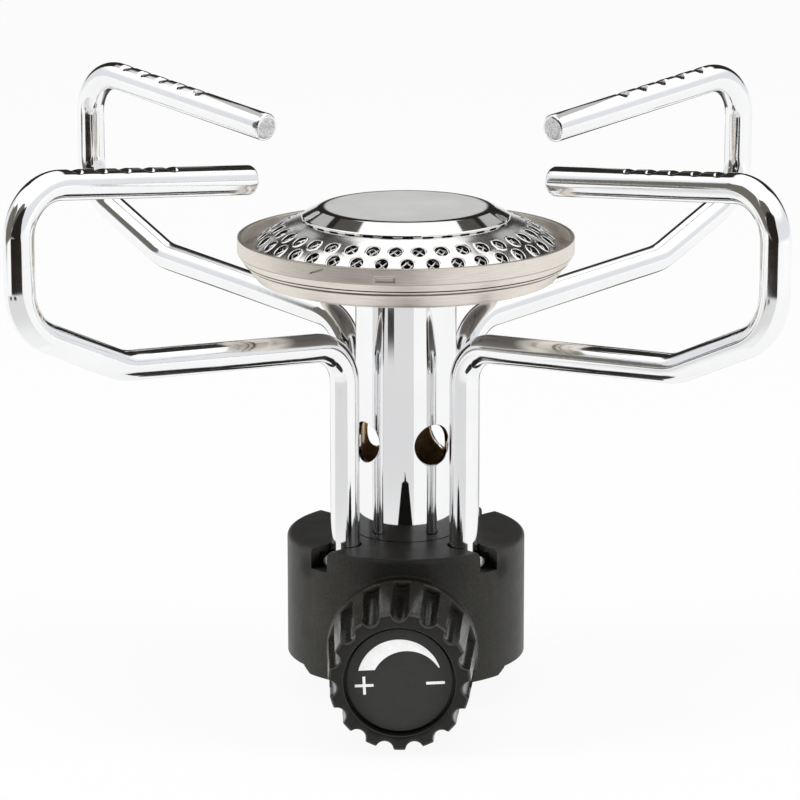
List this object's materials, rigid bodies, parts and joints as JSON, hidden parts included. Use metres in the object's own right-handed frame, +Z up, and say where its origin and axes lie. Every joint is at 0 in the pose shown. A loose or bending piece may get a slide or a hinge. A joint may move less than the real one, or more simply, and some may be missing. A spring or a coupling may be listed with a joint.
{
  "type": "backpacking stove",
  "caption": "Canister-top camping stove: round black base with fluted control knob, chrome mixing tube, perforated burner head and swivelling wire pot supports.",
  "frame": {"origin": "on the canister thread's axis, at the plane of the base's underside", "axes": "+Z up along the mixing tube, towards the burner; -Y towards the control knob; +X to the right of the knob"},
  "size_m": [0.1124, 0.1124, 0.0911],
  "materials": {
    "black_nylon": "fine moulded grain, matte",
    "black_knob": "satin moulded",
    "dial_grey": "matte",
    "dial_white": "pad-printed",
    "chrome_wire": "bright plated",
    "chrome_tube": "bright plated",
    "burner_stainless": "satin turned",
    "polished_stainless": "polished",
    "gauze_steel": "woven",
    "zinc_steel": "zinc plated",
    "valve_brass": "machined",
    "filter_bronze": "sintered",
    "nitrile": "matte"
  },
  "bodies": {
    "stove": {"base_housing": "black_nylon", "bottom_cover": "black_nylon", "cover_screws": "zinc_steel", "valve_body": "valve_brass", "canister_collar": "valve_brass", "canister_seal": "nitrile", "inlet_probe": "valve_brass", "inlet_filter": "filter_bronze", "gas_jet": "valve_brass", "valve_bonnet": "valve_brass", "spindle_seal": "nitrile", "knob_clip": "zinc_steel", "mixing_tube": "chrome_tube", "burner_nut": "zinc_steel", "burner_pan": "burner_stainless", "burner_rim": "burner_stainless", "flame_gauze": "gauze_steel", "burner_ring": "polished_stainless", "burner_cap": "polished_stainless", "leg_bush_front_left": "filter_bronze", "leg_bush_front_right": "filter_bronze", "leg_bush_back_left": "filter_bronze", "leg_bush_back_right": "filter_bronze"},
    "knob": {"control_knob": "black_knob", "knob_insert": "valve_brass", "knob_disc": "dial_grey", "dial_marks": "dial_white"},
    "spindle": {"valve_spindle": "zinc_steel"},
    "support_front_left": {"pot_support_front_left": "chrome_wire", "cross_pin_front_left": "zinc_steel", "leg_clip_front_left": "zinc_steel"},
    "support_front_right": {"pot_support_front_right": "chrome_wire", "cross_pin_front_right": "zinc_steel", "leg_clip_front_right": "zinc_steel"},
    "support_back_left": {"pot_support_back_left": "chrome_wire", "cross_pin_back_left": "zinc_steel", "leg_clip_back_left": "zinc_steel"},
    "support_back_right": {"pot_support_back_right": "chrome_wire", "cross_pin_back_right": "zinc_steel", "leg_clip_back_right": "zinc_steel"}
  },
  "joints": [
    {"name": "knob_turn", "type": "hinge", "parent": "stove", "child": "knob", "pos_m": [0, -0.03, 0.00712], "axis": [0, -1, 0], "range_deg": [0, 540]},
    {"name": "spindle_feed", "type": "slide", "parent": "knob", "child": "spindle", "axis": [0, -1, 0], "range_m": [0, 0.0012]},
    {"name": "support_front_left_swing", "type": "hinge", "parent": "stove", "child": "support_front_left", "pos_m": [-0.00919, -0.00919, 0.02], "axis": [0, 0, 1], "range_deg": [-45, 45]},
    {"name": "support_front_right_swing", "type": "hinge", "parent": "stove", "child": "support_front_right", "pos_m": [0.00919, -0.00919, 0.02], "axis": [0, 0, 1], "range_deg": [-45, 45]},
    {"name": "support_back_left_swing", "type": "hinge", "parent": "stove", "child": "support_back_left", "pos_m": [-0.00919, 0.00919, 0.02], "axis": [0, 0, 1], "range_deg": [-45, 45]},
    {"name": "support_back_right_swing", "type": "hinge", "parent": "stove", "child": "support_back_right", "pos_m": [0.00919, 0.00919, 0.02], "axis": [0, 0, 1], "range_deg": [-45, 45]}
  ],
  "couplings": [
    {"joint": "spindle_feed", "follows": "knob_turn", "m_per_rad": 0.00012732}
  ]
}
